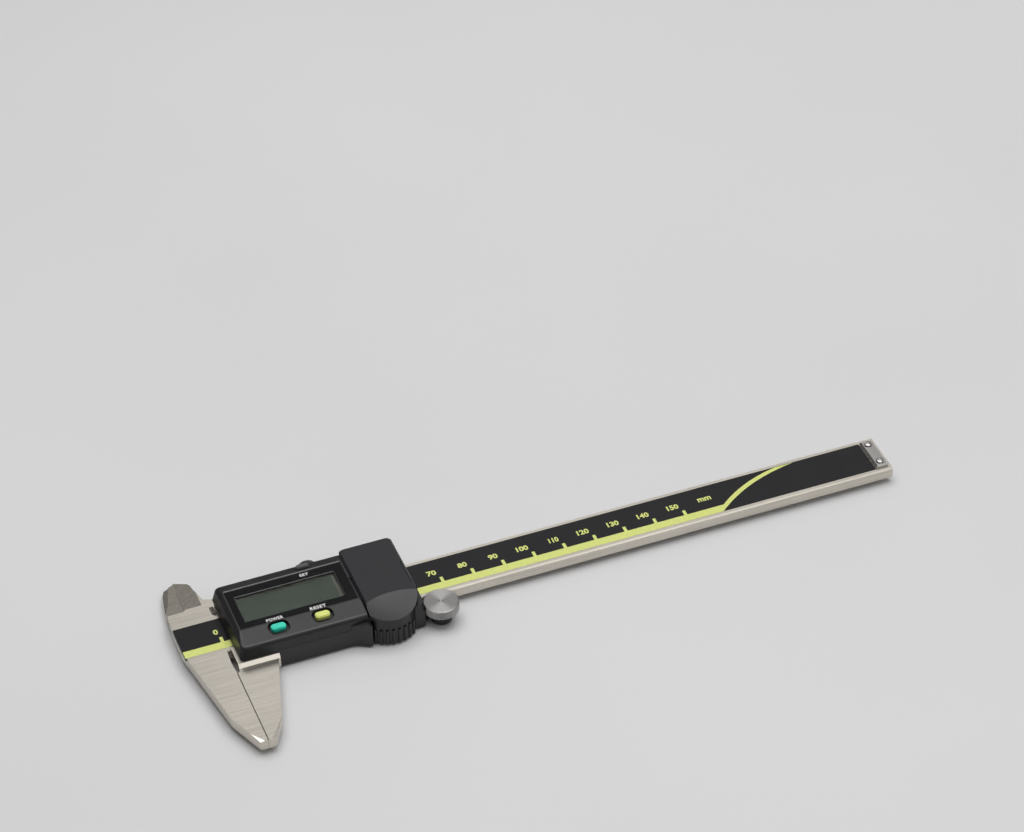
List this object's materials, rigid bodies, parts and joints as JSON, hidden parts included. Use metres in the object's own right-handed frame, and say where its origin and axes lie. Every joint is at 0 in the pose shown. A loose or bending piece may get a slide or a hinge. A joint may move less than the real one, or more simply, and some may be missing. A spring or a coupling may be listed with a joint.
{
  "type": "vernier caliper",
  "caption": "Digital caliper with closed jaws: steel beam with a printed scale, sliding display housing with two coloured keys, thumb rest and thumb roller.",
  "frame": {"origin": "under the middle of the whole caliper's box, on the plane it lies on", "axes": "+X along the beam away from the jaws, +Y from the outside jaws to the inside jaws, +Z out of the display face"},
  "size_m": [0.2312, 0.0758, 0.0127],
  "materials": {
    "jaw_steel": "ground and lapped, satin",
    "bright_steel": "satin with bright edges",
    "roller_steel": "turned face, knurled rim",
    "screw_steel": "nickel plated",
    "cell_steel": "bright nickel",
    "brass": "plain",
    "scale_black": "smooth printed laminate",
    "panel_black": "fine satin",
    "housing_black": "fine moulded texture",
    "cover_black": "fine moulded texture",
    "rear_black": "black coated sheet",
    "knob_black": "black oxide, knurled",
    "chip_black": "moulded",
    "board_green": "solder resist",
    "window_clear": "clear, hard coated",
    "display_grey": "blank reflective display",
    "button_teal": "smooth",
    "button_lime": "smooth",
    "button_black": "smooth",
    "rubber_black": "plain",
    "rubber_grey": "striped conductive",
    "print_white": "printed marking",
    "print_lime": "printed marking"
  },
  "bodies": {
    "beam": {"main_beam": "jaw_steel", "scale_board": "board_green", "scale_cover": "scale_black", "end_stop_plate": "bright_steel", "end_stop_screws": "screw_steel"},
    "slider": {"slider_frame": "jaw_steel", "gib_strip": "brass", "gib_screws": "screw_steel", "clamp_pad": "brass", "depth_bar": "bright_steel", "depth_bar_screws": "screw_steel", "rear_cover": "rear_black", "rear_cover_screws": "screw_steel", "housing": "housing_black", "housing_screws": "screw_steel", "face_panel": "panel_black", "lcd_window": "window_clear", "lcd_panel": "display_grey", "lcd_connectors": "rubber_grey", "circuit_board": "board_green", "board_screws": "screw_steel", "controller_chip": "chip_black", "reader_plate": "board_green", "button_domes": "screw_steel", "battery": "cell_steel", "battery_contact_base": "brass", "battery_contact_side": "brass", "dust_wipers": "rubber_black", "thumb_rest": "cover_black", "roller_bracket": "housing_black", "bracket_screw": "screw_steel", "roller_pin": "screw_steel"},
    "roller": {"thumb_roller": "roller_steel"},
    "lock": {"lock_screw": "knob_black"},
    "on_off_key": {"on_off_button": "button_teal"},
    "zero_key": {"zero_button": "button_lime"},
    "origin_key": {"origin_button": "button_black"},
    "battery_door": {"battery_cover": "cover_black"}
  },
  "joints": [
    {"name": "slider_travel", "type": "slide", "parent": "beam", "child": "slider", "axis": [1, 0, 0], "range_m": [0, 0.15]},
    {"name": "roller_spin", "type": "hinge", "parent": "slider", "child": "roller", "pos_m": [-0.03725, -0.00345, 0.0056], "axis": [0, 0, 1], "range_deg": [0, 1563]},
    {"name": "lock_turn", "type": "hinge", "parent": "slider", "child": "lock", "pos_m": [-0.0692, 0.0257, 0.00385], "axis": [0, 1, 0], "range_deg": [-180, 180]},
    {"name": "on_off_press", "type": "slide", "parent": "slider", "child": "on_off_key", "axis": [0, 0, -1], "range_m": [0, 0.0005], "stiffness_N_per_m": 900, "springref_m": -0.0008},
    {"name": "zero_press", "type": "slide", "parent": "slider", "child": "zero_key", "axis": [0, 0, -1], "range_m": [0, 0.0005], "stiffness_N_per_m": 900, "springref_m": -0.0008},
    {"name": "origin_press", "type": "slide", "parent": "slider", "child": "origin_key", "axis": [0, 0, -1], "range_m": [0, 0.0005], "stiffness_N_per_m": 900, "springref_m": -0.0008},
    {"name": "battery_door_slide", "type": "slide", "parent": "slider", "child": "battery_door", "axis": [0, -1, 0], "range_m": [0, 0.022]}
  ],
  "couplings": [
    {"joint": "roller_spin", "follows": "slider_travel", "rad_per_m": 181.82}
  ]
}
